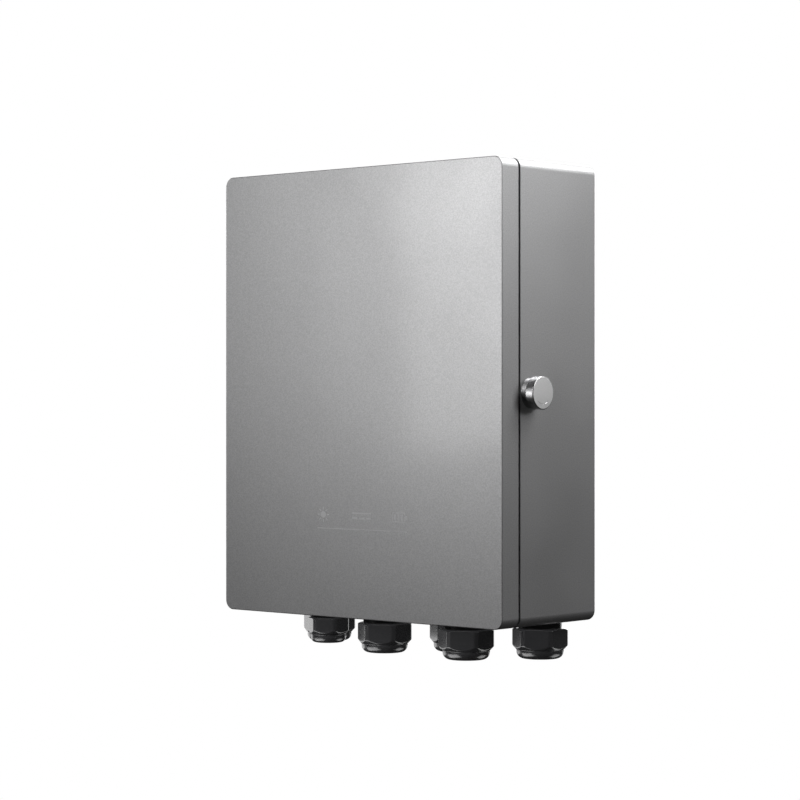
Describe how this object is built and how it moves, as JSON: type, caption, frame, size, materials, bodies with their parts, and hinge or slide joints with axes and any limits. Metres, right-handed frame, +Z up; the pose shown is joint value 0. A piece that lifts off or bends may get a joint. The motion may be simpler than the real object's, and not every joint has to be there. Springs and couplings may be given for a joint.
{
  "type": "dc combiner box",
  "caption": "Wall-hung metal DC combiner box with a side-hinged door, quarter-turn latch, cable glands below, and fuses, isolator, surge protection and bars inside",
  "frame": {"origin": "centre of the rear face, at the middle of the wall-fixing pattern", "axes": "+X right when facing the door, +Y into the wall, +Z up"},
  "size_m": [0.3948, 0.147, 0.4881],
  "materials": {
    "case_paint": "satin metallic paint with a fine grain",
    "zinc_steel": "zinc-plated sheet and fasteners",
    "stainless": "turned stainless steel",
    "black_nylon": "moulded black nylon, slight gloss",
    "black_rubber": "moulded rubber",
    "grey_case": "light grey moulded device case",
    "dark_case": "dark grey moulding",
    "duct_pvc": "grey extruded duct",
    "copper": "bare copper bar",
    "brass": "bare brass",
    "red_resin": "moulded resin insulator",
    "ceramic": "ceramic tube with plated end caps",
    "red_wire": "wire insulation",
    "black_wire": "wire insulation",
    "earth_wire": "wire insulation, green and yellow",
    "clear_grey": "grey moulded pocket"
  },
  "bodies": {
    "enclosure": {"body_shell": "case_paint", "mounting_plate": "zinc_steel", "plate_studs": "zinc_steel", "plate_nuts": "zinc_steel", "hinge_body_leaves": "stainless", "hinge_pins": "stainless", "hinge_body_screws": "stainless", "latch_housing": "stainless", "latch_seal": "black_rubber", "latch_locknut": "zinc_steel", "gland_bodies": "black_nylon", "gland_washers": "black_rubber", "gland_inserts": "black_rubber", "gland_nuts": "black_nylon", "gland_locknuts": "black_nylon", "din_rails": "zinc_steel", "rail_screws": "zinc_steel", "end_clamps": "dark_case", "fuse_bases": "grey_case", "terminal_screws": "brass", "busbar_positive": "copper", "busbar_negative": "copper", "earth_bar": "brass", "bar_standoffs": "red_resin", "bar_screws": "zinc_steel", "isolator_base": "grey_case", "spd_base": "grey_case", "wiring_duct": "duct_pvc", "duct_cover": "duct_pvc", "positive_wires": "red_wire", "negative_wires": "black_wire", "earth_wires": "earth_wire"},
    "door": {"door_shell": "case_paint", "door_gasket": "black_rubber", "door_stiffeners": "zinc_steel", "hinge_door_leaves": "stainless", "hinge_door_screws": "stainless", "keeper": "zinc_steel", "keeper_screws": "zinc_steel", "document_pocket": "clear_grey"},
    "latch": {"latch_knob": "stainless", "latch_cam": "zinc_steel", "latch_cam_screw": "zinc_steel"},
    "isolator_handle": {"isolator_handle": "dark_case"},
    "spd_cartridge_1": {"spd_cartridge_1": "dark_case"},
    "spd_cartridge_2": {"spd_cartridge_2": "dark_case"},
    "spd_cartridge_3": {"spd_cartridge_3": "dark_case"},
    "fuse_carrier_1": {"fuse_carrier_1": "dark_case", "fuse_link_1": "ceramic"},
    "fuse_carrier_2": {"fuse_carrier_2": "dark_case", "fuse_link_2": "ceramic"},
    "fuse_carrier_3": {"fuse_carrier_3": "dark_case", "fuse_link_3": "ceramic"},
    "fuse_carrier_4": {"fuse_carrier_4": "dark_case", "fuse_link_4": "ceramic"},
    "fuse_carrier_5": {"fuse_carrier_5": "dark_case", "fuse_link_5": "ceramic"},
    "fuse_carrier_6": {"fuse_carrier_6": "dark_case", "fuse_link_6": "ceramic"}
  },
  "joints": [
    {"name": "door_hinge", "type": "hinge", "parent": "enclosure", "child": "door", "pos_m": [-0.19, -0.12065, 0], "axis": [0, 0, -1], "range_deg": [0, 130]},
    {"name": "latch_turn", "type": "hinge", "parent": "enclosure", "child": "latch", "pos_m": [0.1915, -0.1036, 0], "axis": [-1, 0, 0], "range_deg": [0, 90]},
    {"name": "isolator_switch", "type": "hinge", "parent": "enclosure", "child": "isolator_handle", "pos_m": [0.063, -0.08, -0.045], "axis": [-1, 0, 0], "range_deg": [0, 60]},
    {"name": "spd_pull_1", "type": "slide", "parent": "enclosure", "child": "spd_cartridge_1", "axis": [0, -1, 0], "range_m": [0, 0.045]},
    {"name": "spd_pull_2", "type": "slide", "parent": "enclosure", "child": "spd_cartridge_2", "axis": [0, -1, 0], "range_m": [0, 0.045]},
    {"name": "spd_pull_3", "type": "slide", "parent": "enclosure", "child": "spd_cartridge_3", "axis": [0, -1, 0], "range_m": [0, 0.045]},
    {"name": "fuse_swing_1", "type": "hinge", "parent": "enclosure", "child": "fuse_carrier_1", "pos_m": [-0.121, -0.074, 0.098], "axis": [1, 0, 0], "range_deg": [0, 60]},
    {"name": "fuse_swing_2", "type": "hinge", "parent": "enclosure", "child": "fuse_carrier_2", "pos_m": [-0.103, -0.074, 0.098], "axis": [1, 0, 0], "range_deg": [0, 60]},
    {"name": "fuse_swing_3", "type": "hinge", "parent": "enclosure", "child": "fuse_carrier_3", "pos_m": [-0.085, -0.074, 0.098], "axis": [1, 0, 0], "range_deg": [0, 60]},
    {"name": "fuse_swing_4", "type": "hinge", "parent": "enclosure", "child": "fuse_carrier_4", "pos_m": [-0.067, -0.074, 0.098], "axis": [1, 0, 0], "range_deg": [0, 60]},
    {"name": "fuse_swing_5", "type": "hinge", "parent": "enclosure", "child": "fuse_carrier_5", "pos_m": [-0.049, -0.074, 0.098], "axis": [1, 0, 0], "range_deg": [0, 60]},
    {"name": "fuse_swing_6", "type": "hinge", "parent": "enclosure", "child": "fuse_carrier_6", "pos_m": [-0.031, -0.074, 0.098], "axis": [1, 0, 0], "range_deg": [0, 60]}
  ]
}
